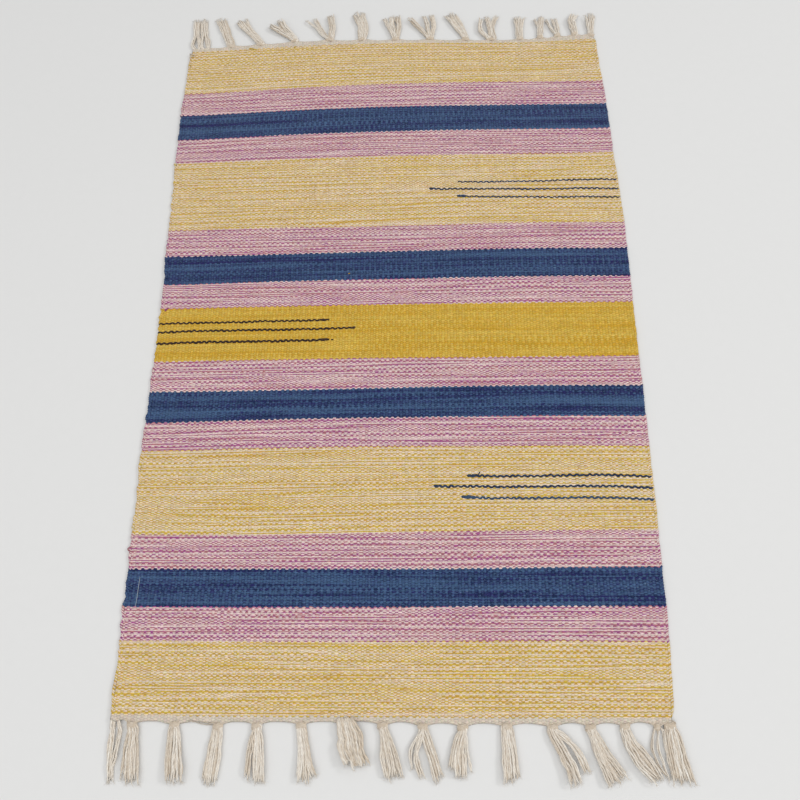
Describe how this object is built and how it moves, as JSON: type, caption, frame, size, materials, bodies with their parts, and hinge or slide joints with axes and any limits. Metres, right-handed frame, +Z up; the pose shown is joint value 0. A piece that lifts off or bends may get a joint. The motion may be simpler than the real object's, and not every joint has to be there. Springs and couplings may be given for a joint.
{
  "type": "kilim rug",
  "caption": "Small flat-woven striped cotton rug with plain hems and a row of knotted tassels at each end, lying flat.",
  "frame": {"origin": "middle of the cloth's underside, on the floor", "axes": "+Z up from the floor, +Y along the rug from its near end to its far end, +X across it to the right"},
  "size_m": [0.611, 1.0358, 0.005],
  "materials": {
    "cloth": "matte weft-faced cotton flatweave in striped yarns",
    "tassel_cotton": "matte undyed plied cotton yarn"
  },
  "bodies": {
    "root": {"rug_cloth": "cloth", "tassel_near_01": "tassel_cotton", "tassel_near_02": "tassel_cotton", "tassel_near_03": "tassel_cotton", "tassel_near_04": "tassel_cotton", "tassel_near_05": "tassel_cotton", "tassel_near_06": "tassel_cotton", "tassel_near_07": "tassel_cotton", "tassel_near_08": "tassel_cotton", "tassel_near_09": "tassel_cotton", "tassel_near_10": "tassel_cotton", "tassel_near_11": "tassel_cotton", "tassel_near_12": "tassel_cotton", "tassel_near_13": "tassel_cotton", "tassel_near_14": "tassel_cotton", "tassel_near_15": "tassel_cotton", "tassel_near_16": "tassel_cotton", "tassel_far_01": "tassel_cotton", "tassel_far_02": "tassel_cotton", "tassel_far_03": "tassel_cotton", "tassel_far_04": "tassel_cotton", "tassel_far_05": "tassel_cotton", "tassel_far_06": "tassel_cotton", "tassel_far_07": "tassel_cotton", "tassel_far_08": "tassel_cotton", "tassel_far_09": "tassel_cotton", "tassel_far_10": "tassel_cotton", "tassel_far_11": "tassel_cotton", "tassel_far_12": "tassel_cotton", "tassel_far_13": "tassel_cotton", "tassel_far_14": "tassel_cotton", "tassel_far_15": "tassel_cotton", "tassel_far_16": "tassel_cotton"}
  },
  "joints": []
}
